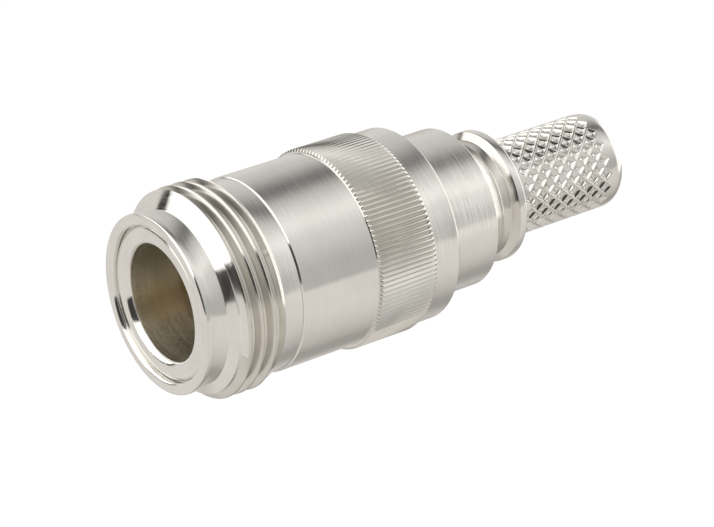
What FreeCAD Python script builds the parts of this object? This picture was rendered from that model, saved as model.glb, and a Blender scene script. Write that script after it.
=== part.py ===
import FreeCAD, Part
import math
import os

# Crimp jack for coaxial cable, stood on the end of its ferrule with the mating mouth up.
# Lengths are in millimetres. A depth is measured from the mating face back towards the cable.

# Coupling thread, which the outer radii of both shells follow by their drops below it
thread_radius = 7.92
thread_length = 2.92
thread_front_chamfer = 0.78
thread_rear_chamfer = 0.62
thread_pitch = 1.058
thread_depth = 0.42
thread_angle = 60.0
thread_lead = 0.22
thread_runout = 0.14
thread_end_angle = 43.6

# Front shell, outside
lip_drop = 1.17
lip_length = 0.5
lip_chamfer = 0.2
face_recess_drop = 2.06
face_recess_depth = 0.26
neck_drop = 1.39
neck_length = 1.42
band_drop = 0.61
band_length = 1.55
spigot_drop = 1.62

# Front shell, inside
neck_wall = 2.21
mouth_depth = 4.0
mouth_chamfer = 0.4
lead_in_length = 1.2
lead_in_drop = 0.26
reference_depth = 9.1
line_drop = 0.56
line_length = 1.8
spigot_wall = 1.6

# Rear shell, outside
barrel_drop = 0.52
barrel_length = 6.65
barrel_front_chamfer = 0.22
grip_drop = 0.2
grip_length = 5.1
grip_teeth = 124
tooth_angle = 90.0
grip_front_chamfer = 0.15
grip_rear_chamfer = 0.33
collar_drop = 0.44
collar_length = 2.35
collar_rear_chamfer = 0.2
shoulder_drop = 1.72
shoulder_length = 4.55
waist_front_radius = 5.3
waist_radius = 4.58
waist_taper_length = 1.8
waist_length = 0.75
flange_radius = 5.15
flange_slope_length = 0.38
flange_length = 0.72

# Rear shell, crimp stem
seat_length = 1.2
stem_radius = 2.5
stem_wall = 0.5
stem_length = 9.55
stem_end_chamfer = 0.2

# Crimp ferrule
ferrule_radius = 3.78
ferrule_wall = 0.53
ferrule_length = 10.85
ferrule_front_chamfer = 0.06
ferrule_nose_length = 0.4
ferrule_nose_drop = 0.1
ferrule_end_chamfer = 0.2
ferrule_plain_front = 0.85
pit_turn = -5.0
pits_round = 20
pit_pitch = 1.256
pit_rows = 13
pit_depth = 0.22
rib_width = 0.14

# Insulators
front_insulator_length = 5.1
rear_insulator_length = 3.5

# Centre contact
contact_radius = 1.52
contact_tip_depth = 4.2
contact_tip_chamfer = 0.25
socket_radius = 0.825
socket_depth = 5.3
slot_width = 0.25
slot_length = 4.2
slot_count = 4
contact_flange_radius = 2.1
contact_flange_length = 1.0
tail_radius = 1.15
conductor_radius = 0.75
conductor_depth = 3.2

# Clearances
press_gap = 0.005
ferrule_gap = 0.05
clamp_gap = 0.06

# Outer radii
lip_radius = thread_radius - lip_drop
face_recess_radius = thread_radius - face_recess_drop
neck_radius = thread_radius - neck_drop
band_radius = thread_radius - band_drop
spigot_radius = thread_radius - spigot_drop
barrel_radius = thread_radius - barrel_drop
grip_radius = thread_radius - grip_drop
collar_radius = thread_radius - collar_drop
shoulder_radius = thread_radius - shoulder_drop

# Inner radii
mouth_radius = neck_radius - neck_wall
outer_contact_radius = mouth_radius - lead_in_drop
line_radius = outer_contact_radius - line_drop
insulator_radius = spigot_radius - spigot_wall

# Places along the axis, as depths behind the mating face
neck_start = lip_length
chamfer_start = neck_start + neck_length
thread_start = chamfer_start + thread_front_chamfer
thread_end = thread_start + thread_length
band_start = thread_end + thread_rear_chamfer
joint_depth = band_start + band_length
grip_start = joint_depth + barrel_length
grip_end = grip_start + grip_length
collar_end = grip_end + collar_length
shoulder_end = collar_end + shoulder_length
waist_start = shoulder_end + waist_taper_length
waist_end = waist_start + waist_length
flange_start = waist_end + flange_slope_length
flange_end = flange_start + flange_length
seat_end = flange_end + seat_length
stem_end = flange_end + stem_length
ferrule_end = flange_end + ferrule_length
line_end = reference_depth + line_length
front_insulator_end = line_end + front_insulator_length
rear_insulator_end = front_insulator_end + rear_insulator_length
spigot_end = front_insulator_end - clamp_gap
overall_length = max(ferrule_end, stem_end)


def height(depth):
    return overall_length - depth


def turned(outline):
    # Solid of revolution from corners given as (radius, depth)
    corners = [FreeCAD.Vector(radius, 0, height(depth)) for radius, depth in outline]
    face = Part.Face(Part.makePolygon(corners + corners[:1]))
    return face.revolve(FreeCAD.Vector(0, 0, 0), FreeCAD.Vector(0, 0, 1), 360)


def on_circle(radius, angle, depth):
    return FreeCAD.Vector(radius * math.cos(angle), radius * math.sin(angle), height(depth))


def flat_faced(outlines):
    # Solid closed by flat faces, each given by its corners
    faces = [Part.Face(Part.makePolygon(corners + corners[:1])) for corners in outlines]
    return Part.Solid(Part.Shell(faces))


def cylinder(radius, start, end):
    base = FreeCAD.Vector(0, 0, height(end))
    return Part.makeCylinder(radius, end - start, base)


def around(shape, angle):
    copy = shape.copy()
    copy.rotate(FreeCAD.Vector(0, 0, 0), FreeCAD.Vector(0, 0, 1), angle)
    return copy


def thread_groove():
    # V groove wound to the right, from its run-out by the band to its lead on the front chamfer
    start = chamfer_start - thread_lead
    end = band_start - thread_runout
    over = thread_depth / 5
    half_width = (thread_depth + over) * math.tan(math.radians(thread_angle / 2))
    root_radius = thread_radius - thread_depth
    corners = [
        FreeCAD.Vector(root_radius, 0, 0),
        FreeCAD.Vector(thread_radius + over, 0, -half_width),
        FreeCAD.Vector(thread_radius + over, 0, half_width),
    ]
    path = Part.Wire(Part.makeHelix(thread_pitch, end - start, thread_radius).Edges)
    groove = path.makePipeShell([Part.makePolygon(corners + corners[:1])], True, True)
    groove.translate(FreeCAD.Vector(0, 0, height(end)))
    return around(groove, thread_end_angle)


def front_shell():
    blank = turned([
        (face_recess_radius, 0),
        (lip_radius - lip_chamfer, 0),
        (lip_radius, lip_chamfer),
        (lip_radius, neck_start),
        (neck_radius, neck_start),
        (neck_radius, chamfer_start),
        (thread_radius, thread_start),
        (thread_radius, thread_end),
        (band_radius, band_start),
        (band_radius, joint_depth),
        (spigot_radius - press_gap, joint_depth),
        (spigot_radius - press_gap, spigot_end),
        (insulator_radius, spigot_end),
        (insulator_radius, line_end),
        (line_radius, line_end),
        (line_radius, reference_depth),
        (outer_contact_radius, reference_depth),
        (outer_contact_radius, mouth_depth + lead_in_length),
        (mouth_radius, mouth_depth),
        (mouth_radius, face_recess_depth + mouth_chamfer),
        (mouth_radius + mouth_chamfer, face_recess_depth),
        (face_recess_radius, face_recess_depth),
    ])
    return blank.cut(thread_groove())


def grip_ring():
    # Straight V teeth all round, with their ends bevelled down to the root
    half_step = math.pi / grip_teeth
    tooth_depth = grip_radius * half_step / math.tan(math.radians(tooth_angle / 2))
    root_radius = grip_radius - tooth_depth
    front_roots = []
    rear_roots = []
    outlines = []
    for index in range(grip_teeth):
        before = (2 * index - 1) * half_step
        middle = 2 * index * half_step
        after = (2 * index + 1) * half_step
        front_tip = on_circle(grip_radius, middle, grip_start + grip_front_chamfer)
        rear_tip = on_circle(grip_radius, middle, grip_end - grip_rear_chamfer)
        front_before = on_circle(root_radius, before, grip_start)
        front_after = on_circle(root_radius, after, grip_start)
        rear_before = on_circle(root_radius, before, grip_end)
        rear_after = on_circle(root_radius, after, grip_end)
        outlines.append([front_before, front_tip, rear_tip, rear_before])
        outlines.append([front_after, front_tip, rear_tip, rear_after])
        outlines.append([front_before, front_tip, front_after])
        outlines.append([rear_before, rear_tip, rear_after])
        front_roots.append(front_before)
        rear_roots.append(rear_before)
    return flat_faced([*outlines, front_roots, rear_roots])


def rear_shell():
    cable_bore_radius = stem_radius - stem_wall
    seat_radius = ferrule_radius - ferrule_wall - ferrule_gap
    blank = turned([
        (spigot_radius, joint_depth),
        (barrel_radius - barrel_front_chamfer, joint_depth),
        (barrel_radius, joint_depth + barrel_front_chamfer),
        (barrel_radius, grip_end),
        (collar_radius, grip_end),
        (collar_radius, collar_end - collar_rear_chamfer),
        (collar_radius - collar_rear_chamfer, collar_end),
        (shoulder_radius, collar_end),
        (shoulder_radius, shoulder_end),
        (waist_front_radius, shoulder_end),
        (waist_radius, waist_start),
        (waist_radius, waist_end),
        (flange_radius, flange_start),
        (flange_radius, flange_end),
        (seat_radius, flange_end),
        (seat_radius, seat_end),
        (stem_radius, seat_end),
        (stem_radius, stem_end - stem_end_chamfer),
        (stem_radius - stem_end_chamfer, stem_end),
        (cable_bore_radius, stem_end),
        (cable_bore_radius, rear_insulator_end),
        (insulator_radius, rear_insulator_end),
        (insulator_radius, spigot_end),
        (spigot_radius, spigot_end),
    ])
    core = cylinder((spigot_radius + barrel_radius) / 2, grip_start, grip_end)
    return blank.fuse(grip_ring().cut(core)).removeSplitter()


def pitted_zone():
    # Length of the ferrule that carries the pits, from its front edge to its rear edge
    start = flange_end + ferrule_plain_front
    return start, start + (pit_rows + 1) * pit_pitch / 2


def flats_waste():
    # The pitted length is a prism, with a corner under each column of pits, to keep its facets few
    start, end = pitted_zone()
    corners = []
    for index in range(2 * pits_round):
        angle = math.radians(pit_turn) + math.pi * index / pits_round
        corners.append(on_circle(ferrule_radius, angle, end))
    prism = Part.Face(Part.makePolygon(corners + corners[:1])).extrude(FreeCAD.Vector(0, 0, end - start))
    return cylinder(ferrule_radius + pit_depth, start, end).cut(prism)


def pit():
    # One pointed diamond pit of the ferrule, on the +X side at the height of the cable end
    across = math.pi * ferrule_radius / pits_round
    along = pit_pitch / 2
    open_share = 1 - rib_width / 2 * math.hypot(1 / across, 1 / along)
    rise = pit_depth / 2
    scale = open_share * (1 + rise / pit_depth)
    diamond = [(across, 0), (0, along), (-across, 0), (0, -along)]
    point = FreeCAD.Vector(ferrule_radius - pit_depth, 0, 0)
    mouth = [FreeCAD.Vector(ferrule_radius + rise, scale * y, scale * z) for y, z in diamond]
    walls = [[point, mouth[side], mouth[side - 1]] for side in range(4)]
    return flat_faced([mouth, *walls])


def crimp_ferrule():
    bore_radius = ferrule_radius - ferrule_wall
    end_radius = ferrule_radius - ferrule_nose_drop
    nose_end = ferrule_end - ferrule_end_chamfer
    sleeve = turned([
        (bore_radius, flange_end),
        (ferrule_radius - ferrule_front_chamfer, flange_end),
        (ferrule_radius, flange_end + ferrule_front_chamfer),
        (ferrule_radius, nose_end - ferrule_nose_length),
        (end_radius, nose_end),
        (end_radius - ferrule_end_chamfer, ferrule_end),
        (bore_radius, ferrule_end),
    ])
    pits = []
    start, end = pitted_zone()
    single = pit()
    for row in range(pit_rows):
        level = height(start + (row + 1) * pit_pitch / 2)
        for index in range(pits_round):
            copy = around(single, pit_turn + 360 * (index + 0.5 * (row % 2)) / pits_round)
            copy.translate(FreeCAD.Vector(0, 0, level))
            pits.append(copy)
    return sleeve.cut(flats_waste()).cut(Part.makeCompound(pits))


def front_insulator():
    return turned([
        (contact_radius + press_gap, line_end),
        (insulator_radius - press_gap, line_end),
        (insulator_radius - press_gap, front_insulator_end),
        (contact_flange_radius + press_gap, front_insulator_end),
        (contact_flange_radius + press_gap, front_insulator_end - contact_flange_length),
        (contact_radius + press_gap, front_insulator_end - contact_flange_length),
    ])


def rear_insulator():
    return turned([
        (tail_radius + press_gap, front_insulator_end),
        (insulator_radius - press_gap, front_insulator_end),
        (insulator_radius - press_gap, rear_insulator_end),
        (tail_radius + press_gap, rear_insulator_end),
    ])


def centre_contact():
    body = turned([
        (socket_radius, contact_tip_depth),
        (contact_radius - contact_tip_chamfer, contact_tip_depth),
        (contact_radius, contact_tip_depth + contact_tip_chamfer),
        (contact_radius, front_insulator_end - contact_flange_length),
        (contact_flange_radius, front_insulator_end - contact_flange_length),
        (contact_flange_radius, front_insulator_end),
        (tail_radius, front_insulator_end),
        (tail_radius, rear_insulator_end),
        (conductor_radius, rear_insulator_end),
        (conductor_radius, rear_insulator_end - conductor_depth),
        (0, rear_insulator_end - conductor_depth),
        (0, contact_tip_depth + socket_depth),
        (socket_radius, contact_tip_depth + socket_depth),
    ])
    slot_end = contact_tip_depth + slot_length
    slot = Part.makeBox(contact_radius, slot_width, slot_length)
    slot.translate(FreeCAD.Vector(0, -slot_width / 2, height(slot_end)))
    for index in range(slot_count):
        body = body.cut(around(slot, 360 * index / slot_count))
    return body


nodes = {
    "front_shell": front_shell,
    "rear_shell": rear_shell,
    "front_insulator": front_insulator,
    "rear_insulator": rear_insulator,
    "centre_contact": centre_contact,
    "crimp_ferrule": crimp_ferrule,
}

os.makedirs("parts", exist_ok=True)
for name, make in nodes.items():
    shape = make()
    shape.exportStep("parts/" + name + ".step")
    print(name, "solids", len(shape.Solids), "valid", shape.isValid(), "volume", round(shape.Volume, 3))
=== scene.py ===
import math

import bmesh
import bpy
from mathutils import Matrix, Vector


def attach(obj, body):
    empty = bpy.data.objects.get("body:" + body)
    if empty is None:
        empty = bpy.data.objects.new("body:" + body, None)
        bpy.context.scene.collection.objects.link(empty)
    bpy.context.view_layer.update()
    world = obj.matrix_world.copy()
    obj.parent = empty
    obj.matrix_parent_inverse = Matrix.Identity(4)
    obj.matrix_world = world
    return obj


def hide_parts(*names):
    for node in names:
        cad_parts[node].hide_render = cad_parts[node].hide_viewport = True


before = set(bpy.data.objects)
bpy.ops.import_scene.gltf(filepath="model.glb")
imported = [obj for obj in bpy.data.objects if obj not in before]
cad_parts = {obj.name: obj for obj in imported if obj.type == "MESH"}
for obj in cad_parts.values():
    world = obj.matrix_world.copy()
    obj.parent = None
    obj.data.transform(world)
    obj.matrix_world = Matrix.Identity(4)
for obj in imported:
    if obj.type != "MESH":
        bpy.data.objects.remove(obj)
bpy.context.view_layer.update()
print("frame loaded")

# Pieces are modelled in millimetres and brought to metres when they are finished.
# A depth is measured from the mating face back towards the cable.
overallLength = 40.94
metresPerMm = 0.001
# Corners that lie closer together than this are one corner
sameCorner = 1e-5


def height(depth):
    return overallLength - depth


def fromAxis(place):
    return math.hypot(place.x, place.y)


# ---- shared mesh steps ----

def turnedBody(outline, steps, closed=True):
    # Spins an outline of (radius, depth, edge width) round the axis, then softens its edges
    mesh = bmesh.new()
    corners = [mesh.verts.new((place[0], 0, height(place[1]))) for place in outline]
    first = 0 if closed else 1
    edges = [mesh.edges.new((corners[index - 1], corners[index])) for index in range(first, len(corners))]
    bmesh.ops.spin(mesh, geom=corners + edges, cent=(0, 0, 0), axis=(0, 0, 1), dvec=(0, 0, 0),
                   angle=2 * math.pi, steps=steps, use_merge=True, use_duplicate=False)
    bmesh.ops.remove_doubles(mesh, verts=mesh.verts, dist=sameCorner)
    bmesh.ops.recalc_face_normals(mesh, faces=mesh.faces)
    for place in outline:
        if len(place) > 2:
            softenRing(mesh, *place)
    return mesh


def onRing(vertex, radius, depth, reach=1e-4):
    return abs(fromAxis(vertex.co) - radius) < reach and abs(vertex.co.z - height(depth)) < reach


def softenRing(mesh, radius, depth, width, segments=3):
    ring = [edge for edge in mesh.edges if all(onRing(vertex, radius, depth) for vertex in edge.verts)]
    bmesh.ops.bevel(mesh, geom=ring, offset=width, offset_type="OFFSET", segments=segments, profile=0.5,
                    affect="EDGES", clamp_overlap=True, material=-1)


def finishPiece(name, mesh, body, node, materials, sharpAngle=40):
    # Turns a bmesh in millimetres into the visible piece that stands for a CAD node
    bmesh.ops.scale(mesh, vec=(metresPerMm,) * 3, verts=mesh.verts)
    data = bpy.data.meshes.new(name)
    mesh.to_mesh(data)
    mesh.free()
    for material in materials:
        data.materials.append(material)
    data.shade_smooth()
    data.set_sharp_from_angle(angle=math.radians(sharpAngle))
    piece = bpy.data.objects.new(name, data)
    bpy.context.scene.collection.objects.link(piece)
    normals = piece.modifiers.new("flatFacesFirst", "WEIGHTED_NORMAL")
    normals.keep_sharp = True
    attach(piece, body)
    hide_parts(node)
    print(name, "made")


# ---- shared shader steps ----

# Places of a mix node's two inputs and its output, for numbers and for colours
mixPlaces = {"FLOAT": (2, 3, 0), "RGBA": (6, 7, 2)}


def fill(tree, socket, value):
    # Links another socket, or sets a plain value
    if isinstance(value, bpy.types.NodeSocket):
        tree.links.new(value, socket)
    else:
        socket.default_value = value


def mathNode(tree, operation, *values):
    node = tree.nodes.new("ShaderNodeMath")
    node.operation = operation
    for socket, value in zip(node.inputs, values):
        fill(tree, socket, value)
    return node.outputs[0]


def restOf(tree, share):
    return mathNode(tree, "SUBTRACT", 1.0, share)


def spread(tree, value, fromRange, toRange=(0.0, 1.0), kind="LINEAR"):
    # Maps one range of values onto another
    node = tree.nodes.new("ShaderNodeMapRange")
    node.interpolation_type = kind
    for name, level in zip(("From Min", "From Max", "To Min", "To Max"), (*fromRange, *toRange)):
        node.inputs[name].default_value = level
    fill(tree, node.inputs["Value"], value)
    return node.outputs[0]


def softStep(tree, value, low, high):
    return spread(tree, value, (low, high), kind="SMOOTHSTEP")


def between(tree, share, first, second, kind="FLOAT"):
    # Blend of two levels or two colours by a share from 0 to 1
    node = tree.nodes.new("ShaderNodeMix")
    node.data_type = kind
    firstPlace, secondPlace, result = mixPlaces[kind]
    fill(tree, node.inputs[0], share)
    fill(tree, node.inputs[firstPlace], first)
    fill(tree, node.inputs[secondPlace], second)
    return node.outputs[result]


marksNoise = {
    "ringDetail": 3.0, "ringRoughness": 0.65, "patchScale": 350.0, "patchDetail": 2.0,
    # Ranges of the noise over which the tint and the gloss change
    "tintRange": (0.76, 1.24), "glossRange": (0.3, 0.7),
}


def latheMarksGroup(look):
    # Fine rings left by the lathe, round the axis on every turned face
    tree = bpy.data.node_groups.new("latheMarks", "ShaderNodeTree")
    sockets = (("Fineness", "INPUT"), ("Unevenness", "INPUT"), ("Height", "OUTPUT"), ("Patches", "OUTPUT"))
    for name, inOut in sockets:
        tree.interface.new_socket(name=name, in_out=inOut, socket_type="NodeSocketFloat")
    start = tree.nodes.new("NodeGroupInput")
    end = tree.nodes.new("NodeGroupOutput")
    place = tree.nodes.new("ShaderNodeTexCoord")
    parts = tree.nodes.new("ShaderNodeSeparateXYZ")
    tree.links.new(place.outputs["Object"], parts.inputs[0])
    x, y, z = parts.outputs
    square = mathNode(tree, "ADD", mathNode(tree, "MULTIPLY", x, x), mathNode(tree, "MULTIPLY", y, y))
    radius = mathNode(tree, "SQRT", square)
    feed = mathNode(tree, "MULTIPLY", mathNode(tree, "ADD", radius, z), 1 / metresPerMm)
    rings = tree.nodes.new("ShaderNodeCombineXYZ")
    stretched = ((feed, "Fineness"), (mathNode(tree, "DIVIDE", x, radius), "Unevenness"),
                 (mathNode(tree, "DIVIDE", y, radius), "Unevenness"))
    for socket, (value, name) in zip(rings.inputs, stretched):
        fill(tree, socket, mathNode(tree, "MULTIPLY", value, start.outputs[name]))
    noise = tree.nodes.new("ShaderNodeTexNoise")
    noise.inputs["Scale"].default_value = 1.0
    noise.inputs["Detail"].default_value = look["ringDetail"]
    noise.inputs["Roughness"].default_value = look["ringRoughness"]
    tree.links.new(rings.outputs[0], noise.inputs["Vector"])
    tree.links.new(noise.outputs[0], end.inputs["Height"])
    blotches = tree.nodes.new("ShaderNodeTexNoise")
    blotches.inputs["Scale"].default_value = look["patchScale"]
    blotches.inputs["Detail"].default_value = look["patchDetail"]
    tree.links.new(place.outputs["Object"], blotches.inputs["Vector"])
    tree.links.new(blotches.outputs[0], end.inputs["Patches"])
    return tree


latheMarks = latheMarksGroup(marksNoise)


def addMarks(tree, shader, look, glossRange):
    # Turning marks drive the gloss and the bump of a material
    marks = tree.nodes.new("ShaderNodeGroup")
    marks.node_tree = latheMarks
    marks.inputs["Fineness"].default_value = look["fineness"]
    marks.inputs["Unevenness"].default_value = look["unevenness"]
    gloss = spread(tree, marks.outputs["Height"], glossRange, look["roughness"])
    tree.links.new(gloss, shader.inputs["Roughness"])
    bump = tree.nodes.new("ShaderNodeBump")
    bump.inputs["Strength"].default_value = look["markStrength"]
    bump.inputs["Distance"].default_value = look["markDepth"] * metresPerMm
    tree.links.new(marks.outputs["Height"], bump.inputs["Height"])
    tree.links.new(bump.outputs[0], shader.inputs["Normal"])
    return marks


def platedMetal(name, look):
    # Plated brass: colour, gloss and turning marks come from the look's values
    material = bpy.data.materials.new(name)
    material.use_nodes = True
    tree = material.node_tree
    shader = tree.nodes["Principled BSDF"]
    shader.inputs["Metallic"].default_value = 1.0
    # The brushed gloss is turned by a quarter from its default
    shader.inputs["Anisotropic"].default_value = look["brushed"]
    shader.inputs["Anisotropic Rotation"].default_value = 0.25
    marks = addMarks(tree, shader, look, marksNoise["glossRange"])
    streaks = spread(tree, mathNode(tree, "ADD", marks.outputs["Patches"], marks.outputs["Height"]),
                     marksNoise["tintRange"])
    tint = between(tree, streaks, (*look["colour"], 1), (*look["secondColour"], 1), "RGBA")
    tree.links.new(tint, shader.inputs["Base Color"])
    return material


satinLook = {
    "colour": (0.785, 0.766, 0.725), "secondColour": (0.835, 0.818, 0.782), "roughness": (0.11, 0.17),
    "brushed": 0.95, "fineness": 7.0, "unevenness": 2.5, "markStrength": 1.0, "markDepth": 0.008,
}
# The thread's plating is the same nickel made darker: painted shade in the thread's grooves
threadPaintedShadeLook = {
    "colour": (0.66, 0.635, 0.585), "secondColour": (0.74, 0.72, 0.675), "roughness": (0.15, 0.24),
    "brushed": 0.3, "fineness": 5.0, "unevenness": 3.0, "markStrength": 0.6, "markDepth": 0.005,
}
brightLook = {
    "colour": (0.80, 0.783, 0.75), "secondColour": (0.86, 0.845, 0.815), "roughness": (0.1, 0.18),
    "brushed": 0.7, "fineness": 6.0, "unevenness": 2.0, "markStrength": 1.0, "markDepth": 0.005,
}
# The bore's plating is the same nickel made darker and olive: painted shade of the deep bore
borePaintedShadeLook = {
    "colour": (0.66, 0.62, 0.515), "secondColour": (0.76, 0.72, 0.62), "roughness": (0.28, 0.42),
    "brushed": 0.6, "fineness": 8.0, "unevenness": 0.8, "markStrength": 1.0, "markDepth": 0.006,
}
# The knurl's plating is the same nickel made darker and browner: painted shade between the teeth
knurlPaintedShadeLook = {
    "colour": (0.71, 0.685, 0.635), "secondColour": (0.77, 0.75, 0.705), "roughness": (0.07, 0.12),
    "brushed": 0.0, "fineness": 2.0, "unevenness": 4.0, "markStrength": 0.2, "markDepth": 0.002,
}
# The flange's plating is the same nickel made darker and browner: painted shade and painted dark reflection
# on the waist and the flange's slope
flangePaintedShadeLook = {
    "colour": (0.68, 0.65, 0.60), "secondColour": (0.75, 0.725, 0.68), "roughness": (0.11, 0.19),
    "brushed": 0.4, "fineness": 6.0, "unevenness": 2.0, "markStrength": 0.8, "markDepth": 0.005,
}
ferruleLook = {
    "colour": (0.73, 0.712, 0.67), "secondColour": (0.82, 0.805, 0.77), "roughness": (0.12, 0.2),
    "brushed": 0.0, "fineness": 5.0, "unevenness": 3.0, "markStrength": 0.3, "markDepth": 0.003,
}
goldLook = {
    "colour": (0.86, 0.62, 0.28), "secondColour": (0.90, 0.67, 0.33), "roughness": (0.14, 0.24),
    "brushed": 0.5, "fineness": 9.0, "unevenness": 1.0, "markStrength": 0.4, "markDepth": 0.003,
}
# The bore, thread, knurl and flange platings are darker copies of the one nickel plating, with painted shade
satinPlating = platedMetal("satinPlating", satinLook)
brightPlating = platedMetal("brightPlating", brightLook)
borePaintedShade = platedMetal("borePaintedShade", borePaintedShadeLook)
knurlPaintedShade = platedMetal("knurlPaintedShade", knurlPaintedShadeLook)
threadPaintedShade = platedMetal("threadPaintedShade", threadPaintedShadeLook)
flangePaintedShade = platedMetal("flangePaintedShade", flangePaintedShadeLook)
ferrulePlating = platedMetal("ferrulePlating", ferruleLook)
goldPlating = platedMetal("goldPlating", goldLook)


def fluoropolymer(look):
    material = bpy.data.materials.new("fluoropolymer")
    material.use_nodes = True
    tree = material.node_tree
    shader = tree.nodes["Principled BSDF"]
    shader.inputs["Base Color"].default_value = (*look["colour"], 1)
    addMarks(tree, shader, look, look["glossRange"])
    return material


insulatorLook = {
    "colour": (0.88, 0.88, 0.86), "roughness": (0.35, 0.55), "glossRange": (0.0, 1.0),
    "fineness": 6.0, "unevenness": 0.6, "markStrength": 0.4, "markDepth": 0.01,
}
insulatorPlastic = fluoropolymer(insulatorLook)
print("materials made")


# ---- zones of a piece ----

def paintZones(mesh, zones):
    # Gives each face the material of the first zone that holds its middle, or else the first material
    for face in mesh.faces:
        middle = face.calc_center_median()
        measures = {"depth": overallLength - middle.z, "radius": fromAxis(middle),
                    "slope": abs(face.normal.z)}
        for material, limits in zones:
            if all(low < measures[name] < high for name, (low, high) in limits.items()):
                face.material_index = material
                break
        else:
            face.material_index = 0


# ---- front shell ----

frontShell = {
    "steps": 256,
    "outline": [
        (5.86, 0.09, 0.2, 5), (6.1, 0.015), (6.35, 0), (6.55, 0.02), (6.75, 0.08, 0.1, 4),
        (6.75, 0.5, 0.04), (6.53, 0.5, 0.04), (6.53, 1.92, 0.04),
        (7.92, 2.7, 0.06), (7.92, 5.62, 0.06), (7.31, 6.24, 0.06), (7.31, 7.79, 0.06),
        (6.295, 7.79), (6.295, 15.94), (4.7, 15.94), (4.7, 10.9), (3.5, 10.9, 0.05), (3.5, 9.1, 0.1),
        (4.06, 9.1, 0.03), (4.06, 6.0), (4.075, 5.4), (4.13, 4.85), (4.21, 4.3), (4.28, 3.7), (4.31, 3.1),
        (4.32, 2.5), (4.32, 0.42, 0.45, 8), (4.7, 0.28), (4.95, 0.235), (5.2, 0.235), (5.4, 0.27),
        (5.6, 0.34), (5.74, 0.43), (5.81, 0.54), (5.81, 0.6), (5.86, 0.6),
    ],
    # Material and where it holds: bore (darker olive copy of the plating, painted shade), brushed side of
    # the lip, thread (darker copy, painted shade in the grooves), then mouth and chamfers
    "zones": [
        (2, {"radius": (0, 4.36), "depth": (1.15, overallLength)}),
        (0, {"radius": (6.4, 9), "depth": (-1, 1.9), "slope": (-1, 0.3)}),
        (3, {"depth": (2.66, 5.7)}),
        (1, {"depth": (-1, 6.3)}),
    ],
}
thread = {
    "crest": 7.92, "pitch": 1.058, "startDepth": 1.70, "startAngle": 100.0, "turns": 4.159,
    "stepsPerTurn": 180,
    # Half of the groove's profile, as (rise over the crest, distance from its middle)
    "halfProfile": [(-0.62, 0.09), (-0.6, 0.15), (-0.13, 0.385), (-0.06, 0.43), (-0.02, 0.475),
                    (0.0, 0.51), (0.03, 0.524), (0.3, 0.5285)],
}


def threadGroove(look):
    # V groove with a rounded root and rounded shoulders, wound to the right towards the cable
    mesh = bmesh.new()
    half = look["halfProfile"]
    profile = [(rise, -across) for rise, across in reversed(half)] + half
    corners = [mesh.verts.new((look["crest"] + rise, 0, height(look["startDepth"] + across)))
               for rise, across in profile]
    face = mesh.faces.new(corners)
    turn = Matrix.Rotation(math.radians(look["startAngle"]), 3, "Z")
    bmesh.ops.rotate(mesh, cent=(0, 0, 0), matrix=turn, verts=mesh.verts)
    steps = int(look["stepsPerTurn"] * look["turns"])
    shift = -look["pitch"] * look["turns"] / steps
    bmesh.ops.spin(mesh, geom=[face], cent=(0, 0, 0), axis=(0, 0, 1), dvec=(0, 0, shift),
                   angle=-2 * math.pi * look["turns"], steps=steps, use_merge=False, use_duplicate=False)
    bmesh.ops.remove_doubles(mesh, verts=mesh.verts, dist=sameCorner)
    bmesh.ops.recalc_face_normals(mesh, faces=mesh.faces)
    return mesh


def cutWith(mesh, tool):
    # Exact boolean difference, done on two short-lived objects
    blankData = bpy.data.meshes.new("blank")
    mesh.to_mesh(blankData)
    toolData = bpy.data.meshes.new("tool")
    tool.to_mesh(toolData)
    blank = bpy.data.objects.new("blank", blankData)
    cutter = bpy.data.objects.new("cutter", toolData)
    for item in (blank, cutter):
        bpy.context.scene.collection.objects.link(item)
    cut = blank.modifiers.new("cut", "BOOLEAN")
    cut.operation = "DIFFERENCE"
    cut.solver = "EXACT"
    cut.object = cutter
    bpy.context.view_layer.update()
    result = blank.evaluated_get(bpy.context.evaluated_depsgraph_get()).to_mesh()
    done = bmesh.new()
    done.from_mesh(result)
    for item in (blank, cutter):
        bpy.data.objects.remove(item)
    bpy.data.meshes.remove(blankData)
    bpy.data.meshes.remove(toolData)
    mesh.free()
    tool.free()
    return done


def makeFrontShell():
    mesh = turnedBody(frontShell["outline"], frontShell["steps"])
    mesh = cutWith(mesh, threadGroove(thread))
    paintZones(mesh, frontShell["zones"])
    finishPiece("frontShell", mesh, "connector", "front_shell",
                [satinPlating, brightPlating, borePaintedShade, threadPaintedShade])


makeFrontShell()


# ---- rear shell ----

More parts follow.
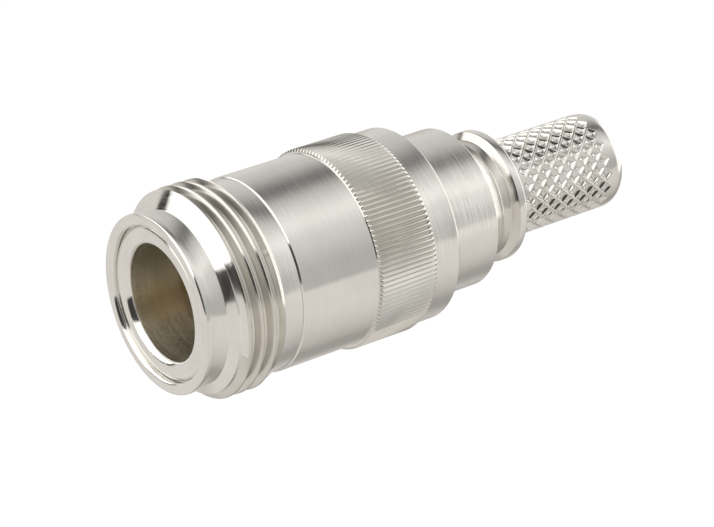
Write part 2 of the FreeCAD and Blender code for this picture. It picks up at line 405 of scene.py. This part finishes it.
rearShell = {
    "teeth": 124, "stepsPerTooth": 6,
    "outline": [
        (6.3, 7.79), (7.31, 7.79, 0.02), (7.4, 7.88, 0.02), (7.4, 14.44, 0.02),
        (7.524, 14.44), (7.72, 14.59), (7.72, 19.21), (7.524, 19.54),
        (7.48, 19.54, 0.01), (7.48, 21.69, 0.03), (7.28, 21.89, 0.03), (6.2, 21.89, 0.03),
        (6.2, 26.44, 0.1), (5.3, 26.44, 0.03), (4.58, 28.24, 0.12), (4.58, 28.99, 0.02),
        (5.15, 29.37, 0.05), (5.15, 30.09, 0.12), (3.2, 30.09), (3.2, 31.29, 0.05), (2.5, 31.29),
    ],
    "barbStart": 32.29, "barbPitch": 2.0, "barbCount": 3, "barbDepth": 0.12, "barbCrest": 0.75,
    "stemRadius": 2.5, "stemEnd": 39.64, "stemEndChamfer": 0.2, "stemSoftening": 0.03, "cableBore": 2.0,
    "rearInsulatorEnd": 19.5, "insulatorPocket": 4.7, "spigotEnd": 15.94, "spigotRadius": 6.3,
    # Ring of corners that become teeth: their depths, least radius and the radius of the roots
    "toothDepths": (14.5, 19.3), "toothLeast": 7.6, "toothRoot": 7.524,
    # Half a tooth from the middle of its crest to its root, as (angle in steps, share of its depth)
    "toothProfile": [(0, 1), (0.16, 1), (1.58, 0.5), (3, 0)],
    # Material and where it holds: bore (painted shade), knurl (painted shade between the teeth), bright end
    # faces, flange (painted shade) and the seat behind it
    "zones": [
        (2, {"radius": (0, 4.0), "depth": (0, 30)}),
        (3, {"radius": (7.4, 9), "depth": (14.45, 19.5)}),
        (1, {"radius": (4.5, 9), "depth": (0, 28), "slope": (0.3, 2)}),
        (4, {"depth": (27.0, 29.5)}),
        (1, {"depth": (26.4, 31.4)}),
    ],
}


def rearOutline(look):
    # The full outline: barrel to stem, the stem's ridges, and the bores back to the spigot
    soft = look["stemSoftening"]
    outline = list(look["outline"])
    for index in range(look["barbCount"]):
        ridge = look["barbStart"] + index * look["barbPitch"]
        outline.append((look["stemRadius"] - look["barbDepth"], ridge))
        outline.append((look["stemRadius"], ridge + look["barbCrest"] * look["barbPitch"], soft))
    outline += [
        (look["stemRadius"], look["stemEnd"] - look["stemEndChamfer"], soft),
        (look["stemRadius"] - look["stemEndChamfer"], look["stemEnd"], soft),
        (look["cableBore"], look["stemEnd"], soft), (look["cableBore"], look["rearInsulatorEnd"]),
        (look["insulatorPocket"], look["rearInsulatorEnd"]), (look["insulatorPocket"], look["spigotEnd"]),
        (look["spigotRadius"], look["spigotEnd"]),
    ]
    return outline


def shapeTeeth(mesh, look):
    # Moves the grip ring's corners to crests, flanks and roots
    perTooth = look["stepsPerTooth"]
    step = 2 * math.pi / (look["teeth"] * perTooth)
    nearest, farthest = look["toothDepths"]
    for vertex in mesh.verts:
        radius = fromAxis(vertex.co)
        if radius > look["toothLeast"] and nearest < overallLength - vertex.co.z < farthest:
            angle = math.atan2(vertex.co.y, vertex.co.x)
            phase = round(angle / step) % perTooth
            away = min(phase, perTooth - phase)
            moved, share = look["toothProfile"][away]
            side = 1 if phase == away else -1
            angle += side * (moved - away) * step
            wanted = look["toothRoot"] + share * (radius - look["toothRoot"])
            vertex.co.x = wanted * math.cos(angle)
            vertex.co.y = wanted * math.sin(angle)


def makeRearShell():
    look = rearShell
    mesh = turnedBody(rearOutline(look), look["teeth"] * look["stepsPerTooth"])
    shapeTeeth(mesh, look)
    paintZones(mesh, look["zones"])
    finishPiece("rearShell", mesh, "connector", "rear_shell",
                [satinPlating, brightPlating, borePaintedShade, knurlPaintedShade, flangePaintedShade], sharpAngle=35)


makeRearShell()


# ---- crimp ferrule ----

crimpFerrule = {
    "radius": 3.78, "front": 30.09, "plainFront": 0.85, "pitTurn": -6.0,
    "pitsRound": 20, "pitPitch": 1.256, "rows": 13, "ribWidth": 0.1, "cutsPerSide": 3,
    # Steps down from the rib to the pit's floor, as (run, drop)
    "pitSteps": [(0.07, 0.1), (0.09, 0.08), (0.1, 0.04)],
    # Rings from the pits round each end into the bore, as (radius, distance from the front)
    "frontRings": [(3.78, 0.79), (3.78, 0.08), (3.72, 0), (3.25, 0), (3.25, 4.9)],
    "rearRings": [(3.78, 9.9), (3.77, 10.1), (3.74, 10.3), (3.68, 10.5), (3.58, 10.68), (3.46, 10.81),
                  (3.44, 10.85), (3.33, 10.85), (3.25, 10.77), (3.25, 4.9)],
    "sameTileCorner": 1e-4, "sameRowCorner": 1e-3,
    # Edges sharper than this many degrees, this close to the outside, are softened
    "sharpRidge": 30, "ridgeReach": 0.05, "ridgeSoftening": 0.025,
}


def ofKind(items, kind):
    return [item for item in items if isinstance(item, kind)]


def pitTile(look):
    # One diamond with its rib, walls and floor, laid flat on the Y-Z plane at the ferrule's surface
    mesh = bmesh.new()
    across = math.pi * look["radius"] / look["pitsRound"]
    along = look["pitPitch"] / 2
    bmesh.ops.create_circle(mesh, cap_ends=True, radius=1.0, segments=4)
    bmesh.ops.subdivide_edges(mesh, edges=mesh.edges, cuts=look["cutsPerSide"] - 1)
    for vertex in mesh.verts:
        vertex.co = Vector((0, vertex.co.x * across, vertex.co.y * along))
    bmesh.ops.recalc_face_normals(mesh, faces=mesh.faces)
    pitFace = next(iter(mesh.faces))
    if pitFace.normal.x < 0:
        bmesh.ops.reverse_faces(mesh, faces=[pitFace])
    for run, drop in [(look["ribWidth"] / 2, 0), *look["pitSteps"]]:
        bmesh.ops.inset_region(mesh, faces=[pitFace], thickness=run, depth=-drop,
                               use_even_offset=True, use_boundary=True)
    return mesh


def bendRound(mesh, radius):
    # Wraps a flat tile on the Y-Z plane round the axis
    for vertex in mesh.verts:
        angle = vertex.co.y / radius
        reach = radius + vertex.co.x
        vertex.co.x = reach * math.cos(angle)
        vertex.co.y = reach * math.sin(angle)


def turnAll(mesh, vertices, angle):
    bmesh.ops.rotate(mesh, cent=(0, 0, 0), matrix=Matrix.Rotation(angle, 3, "Z"), verts=vertices)


def layRows(mesh, look):
    # Repeats the tile round the axis, and the ring of tiles along it, every other one by half a pit
    seed = list(mesh.verts) + list(mesh.edges) + list(mesh.faces)
    bmesh.ops.spin(mesh, geom=seed, cent=(0, 0, 0), axis=(0, 0, 1), dvec=(0, 0, 0), angle=2 * math.pi,
                   steps=look["pitsRound"], use_merge=False, use_duplicate=True)
    bmesh.ops.remove_doubles(mesh, verts=mesh.verts, dist=look["sameTileCorner"])
    row = list(mesh.verts) + list(mesh.edges) + list(mesh.faces)
    firstRow = look["front"] + look["plainFront"] + look["pitPitch"] / 2
    bmesh.ops.translate(mesh, vec=(0, 0, height(firstRow)), verts=mesh.verts)
    for index in range(1, look["rows"]):
        copied = bmesh.ops.duplicate(mesh, geom=row)["geom"]
        vertices = ofKind(copied, bmesh.types.BMVert)
        bmesh.ops.translate(mesh, vec=(0, 0, -index * look["pitPitch"] / 2), verts=vertices)
        if index % 2:
            turnAll(mesh, vertices, math.pi / look["pitsRound"])
    bmesh.ops.remove_doubles(mesh, verts=mesh.verts, dist=look["sameRowCorner"])
    turnAll(mesh, mesh.verts, math.radians(look["pitTurn"]))
    return height(firstRow + (look["rows"] - 1) * look["pitPitch"] / 4)


def growRings(mesh, rim, rings, look):
    # Extrudes an open rim from ring to ring
    for radius, place in rings:
        grown = bmesh.ops.extrude_edge_only(mesh, edges=rim)["geom"]
        rim = ofKind(grown, bmesh.types.BMEdge)
        for vertex in ofKind(grown, bmesh.types.BMVert):
            share = radius / fromAxis(vertex.co)
            vertex.co = Vector((vertex.co.x * share, vertex.co.y * share, height(look["front"] + place)))


def makeFerrule():
    look = crimpFerrule
    mesh = pitTile(look)
    bendRound(mesh, look["radius"])
    middle = layRows(mesh, look)
    for rings, upper in ((look["frontRings"], True), (look["rearRings"], False)):
        rim = [edge for edge in mesh.edges if edge.is_boundary and (edge.verts[0].co.z > middle) == upper]
        growRings(mesh, rim, rings, look)
    bmesh.ops.remove_doubles(mesh, verts=mesh.verts, dist=look["sameRowCorner"])
    bmesh.ops.recalc_face_normals(mesh, faces=mesh.faces)
    sharp = math.radians(look["sharpRidge"])
    outside = look["radius"] - look["ridgeReach"]
    ridges = [edge for edge in mesh.edges if edge.is_manifold and edge.calc_face_angle() > sharp
              and fromAxis(edge.verts[0].co) > outside]
    bmesh.ops.bevel(mesh, geom=ridges, offset=look["ridgeSoftening"], offset_type="OFFSET", segments=2,
                    profile=0.5, affect="EDGES", clamp_overlap=True, material=-1)
    finishPiece("crimpFerrule", mesh, "ferrule", "crimp_ferrule",
                [ferrulePlating], sharpAngle=50)


makeFerrule()


# ---- insulators and contact ----

insulators = {
    "front": [(1.525, 10.9, 0.05), (4.695, 10.9, 0.08), (4.695, 16.0, 0.05), (2.105, 16.0),
              (2.105, 15.0), (1.525, 15.0)],
    "rear": [(1.155, 16.0), (4.695, 16.0, 0.05), (4.695, 19.5, 0.08), (1.155, 19.5, 0.05)],
    "steps": 128,
}
for side, node in (("front", "front_insulator"), ("rear", "rear_insulator")):
    finishPiece(side + "Insulator", turnedBody(insulators[side], insulators["steps"]), "connector", node,
                [insulatorPlastic])

centreContact = {
    "steps": 96,
    "outline": [
        (0, 9.5), (0.825, 9.5), (0.825, 4.2, 0.08), (1.27, 4.2, 0.06), (1.52, 4.45, 0.05), (1.52, 15.0),
        (2.1, 15.0, 0.03), (2.1, 16.0, 0.03), (1.15, 16.0), (1.15, 19.5, 0.05), (0.75, 19.5, 0.05),
        (0.75, 16.3), (0, 16.3),
    ],
    "slotWidth": 0.25, "slotLength": 4.2, "slotAcross": 4.0, "tipDepth": 4.2, "slots": 4,
    # How far the cutter stands out over the tip
    "overCut": 1.0,
}


def makeContact():
    look = centreContact
    mesh = turnedBody(look["outline"], look["steps"], closed=False)
    tool = bmesh.new()
    length = look["slotLength"] + look["overCut"]
    middle = height(look["tipDepth"]) + look["overCut"] - length / 2
    for index in range(look["slots"] // 2):
        made = bmesh.ops.create_cube(tool, size=1.0)["verts"]
        bmesh.ops.scale(tool, vec=(look["slotAcross"], look["slotWidth"], length), verts=made)
        bmesh.ops.translate(tool, vec=(0, 0, middle), verts=made)
        turnAll(tool, made, index * math.pi / 2)
    finishPiece("centreContact", cutWith(mesh, tool), "connector", "centre_contact", [goldPlating])


makeContact()


# ---- floor, studio and camera ----

studio = {
    "floorRadius": 3.0, "floorSides": 96, "floorHeight": -10.5, "floorColour": (0.9, 0.9, 0.9),
    "floorGlow": 1.06, "floorShade": 0.12,
    # Directions of the studio: up is over the part as it lies in the picture, side is towards the camera
    "up": (0.8387, -0.5446, 0.0), "side": (-0.5446, -0.8387, 0.0),
    "strength": 2.0, "roomTint": (1.0, 0.992, 0.972), "tableTint": (1.0, 0.965, 0.92),
    # Angle from up towards the camera side in degrees, and brightness
    "walls": [(-180, 0.2), (-166, 0.2), (-150, 0.3), (-92, 0.38), (-83, 0.38), (-67, 0.34), (-50, 0.31),
              (-37, 0.21), (-24, 0.095), (-15, 0.1), (-3, 0.28), (13, 0.4), (25, 0.5), (33, 0.5),
              (43, 0.4), (61, 0.35), (77, 0.27), (95, 0.265), (96.5, 0.4), (125, 0.4), (141, 0.37),
              (157, 0.32), (170, 0.27), (180, 0.2)],
    # Degrees by which the walls' edges turn from back to front, where they are upright, and where the
    # slant comes in and goes out
    "wallSlant": 40.0, "uprightAt": -0.526, "slantFrom": (-85, -50), "slantTo": (55, 88),
    # The table's near and far edge, in degrees
    "tableNear": (95.3, 96.7), "tableFar": (-94, -90),
    "backLevel": 0.8, "backForward": (0.76, 0.88), "backUp": (-0.34, -0.27),
    # In front of the mouth: brightness, then the edges of screen, table and the gap at the far side
    "frontWhite": 0.8, "frontBlack": 0.026, "frontTable": 0.38, "frontFrom": 0.02, "frontTo": 0.3,
    "screenSlope": 1.044, "screenEdge": (-0.185, -0.155),
    "tableSlope": 0.245, "tableEdge": (-0.195, -0.175),
    "farGapSide": (-0.62, -0.58), "farGapUp": (0.18, 0.2),
}


def ringRamp(tree, angle, stops):
    ramp = tree.nodes.new("ShaderNodeValToRGB")
    elements = ramp.color_ramp.elements
    while len(elements) > 1:
        elements.remove(elements[-1])
    for index, (degrees, level) in enumerate(stops):
        place = (degrees + 180) / 360
        element = elements[0] if index == 0 else elements.new(place)
        element.position = place
        element.color = (level, level, level, 1)
    share = mathNode(tree, "ADD", mathNode(tree, "DIVIDE", angle, 360.0), 0.5)
    tree.links.new(share, ramp.inputs[0])
    return ramp.outputs[0]


def besideLight(tree, look, angle, up, forward):
    # Behind and beside the part: walls whose edges slant, and a bright sweep far behind
    ahead = mathNode(tree, "SUBTRACT", forward, look["uprightAt"])
    slant = mathNode(tree, "MULTIPLY", ahead, look["wallSlant"])
    slant = mathNode(tree, "MULTIPLY", slant, softStep(tree, angle, *look["slantFrom"]))
    slant = mathNode(tree, "MULTIPLY", slant, restOf(tree, softStep(tree, angle, *look["slantTo"])))
    walls = ringRamp(tree, mathNode(tree, "ADD", angle, slant), look["walls"])
    backward = mathNode(tree, "MULTIPLY", forward, -1.0)
    sweep = mathNode(tree, "MULTIPLY", softStep(tree, backward, *look["backForward"]),
                     softStep(tree, up, *look["backUp"]))
    level = between(tree, sweep, walls, look["backLevel"])
    table = mathNode(tree, "MAXIMUM", softStep(tree, angle, *look["tableNear"]),
                     restOf(tree, softStep(tree, angle, *look["tableFar"])))
    return level, table


def frontLight(tree, look, up, side):
    # In front of the mouth: a bright screen over a dark gap over the table
    screenPlace = mathNode(tree, "SUBTRACT", side, mathNode(tree, "MULTIPLY", up, look["screenSlope"]))
    reach = mathNode(tree, "MULTIPLY", mathNode(tree, "ABSOLUTE", side), look["tableSlope"])
    tablePlace = mathNode(tree, "SUBTRACT", up, reach)
    table = restOf(tree, softStep(tree, tablePlace, *look["tableEdge"]))
    farGap = mathNode(tree, "MULTIPLY", restOf(tree, softStep(tree, side, *look["farGapSide"])),
                      restOf(tree, softStep(tree, up, *look["farGapUp"])))
    gap = mathNode(tree, "MAXIMUM", softStep(tree, screenPlace, *look["screenEdge"]), farGap)
    screen = between(tree, gap, look["frontWhite"], look["frontBlack"])
    return between(tree, table, screen, look["frontTable"]), mathNode(tree, "MAXIMUM", table, gap)


def joinForCamera(tree, lit, seen, outputKind, share=1.0):
    # The camera sees one shader by a share, and everything else is lit by the other
    path = tree.nodes.new("ShaderNodeLightPath")
    choice = tree.nodes.new("ShaderNodeMixShader")
    tree.links.new(mathNode(tree, "MULTIPLY", path.outputs["Is Camera Ray"], share), choice.inputs[0])
    tree.links.new(lit.outputs[0], choice.inputs[1])
    tree.links.new(seen.outputs[0], choice.inputs[2])
    out = tree.nodes.new(outputKind)
    tree.links.new(choice.outputs[0], out.inputs["Surface"])


def makeStudio():
    look = studio
    world = bpy.data.worlds.new("studioWorld")
    bpy.context.scene.world = world
    world.use_nodes = True
    tree = world.node_tree
    tree.nodes.clear()
    place = tree.nodes.new("ShaderNodeTexCoord")
    sides = []
    for name in ("up", "side"):
        dot = tree.nodes.new("ShaderNodeVectorMath")
        dot.operation = "DOT_PRODUCT"
        dot.inputs[1].default_value = look[name]
        tree.links.new(place.outputs["Generated"], dot.inputs[0])
        sides.append(dot.outputs["Value"])
    up, side = sides
    parts = tree.nodes.new("ShaderNodeSeparateXYZ")
    tree.links.new(place.outputs["Generated"], parts.inputs[0])
    forward = parts.outputs[2]
    angle = mathNode(tree, "DEGREES", mathNode(tree, "ARCTAN2", side, up))

    beside, besideTable = besideLight(tree, look, angle, up, forward)
    before, beforeTable = frontLight(tree, look, up, side)
    frontShare = softStep(tree, forward, look["frontFrom"], look["frontTo"])
    level = between(tree, frontShare, beside, before)
    tableShare = between(tree, frontShare, besideTable, beforeTable)
    tint = between(tree, tableShare, (*look["roomTint"], 1), (*look["tableTint"], 1), "RGBA")
    room = tree.nodes.new("ShaderNodeBackground")
    tree.links.new(tint, room.inputs["Color"])
    tree.links.new(mathNode(tree, "MULTIPLY", level, look["strength"]), room.inputs["Strength"])
    white = tree.nodes.new("ShaderNodeBackground")
    white.inputs["Color"].default_value = (1, 1, 1, 1)
    joinForCamera(tree, room, white, "ShaderNodeOutputWorld")


def makeFloor():
    mesh = bmesh.new()
    bmesh.ops.create_circle(mesh, cap_ends=True, radius=studio["floorRadius"], segments=studio["floorSides"])
    data = bpy.data.meshes.new("floor")
    mesh.to_mesh(data)
    mesh.free()
    floor = bpy.data.objects.new("floor", data)
    bpy.context.scene.collection.objects.link(floor)
    # Low enough for the ferrule to slide off over it
    floor.location.z = studio["floorHeight"] * metresPerMm
    material = bpy.data.materials.new("paleFloor")
    material.use_nodes = True
    tree = material.node_tree
    tree.nodes.clear()
    diffuse = tree.nodes.new("ShaderNodeBsdfDiffuse")
    diffuse.inputs["Color"].default_value = (*studio["floorColour"], 1)
    glow = tree.nodes.new("ShaderNodeEmission")
    glow.inputs["Strength"].default_value = studio["floorGlow"]
    joinForCamera(tree, diffuse, glow, "ShaderNodeOutputMaterial", 1 - studio["floorShade"])
    data.materials.append(material)
    floor.visible_glossy = False


makeStudio()
makeFloor()

cameraLook = {
    "lens": 147.3, "sensor": 36.0, "clip": (0.01, 10.0), "place": (-1.82, -184.59, 138.05),
    "right": (-0.32356, -0.49801, -0.8046), "up": (0.94621, -0.17028, -0.2751),
    "back": (0, -0.85029, 0.5263),
}


def makeCamera():
    data = bpy.data.cameras.new("pictureCamera")
    data.lens = cameraLook["lens"]
    data.sensor_width = cameraLook["sensor"]
    data.clip_start, data.clip_end = cameraLook["clip"]
    camera = bpy.data.objects.new("pictureCamera", data)
    bpy.context.scene.collection.objects.link(camera)
    axes = Matrix((cameraLook["right"], cameraLook["up"], cameraLook["back"])).transposed()
    place = Vector(cameraLook["place"]) * metresPerMm
    camera.matrix_world = Matrix.Translation(place) @ axes.to_4x4()
    bpy.context.scene.camera = camera


makeCamera()
bpy.context.scene.view_settings.view_transform = "Standard"
print("studio and camera made")
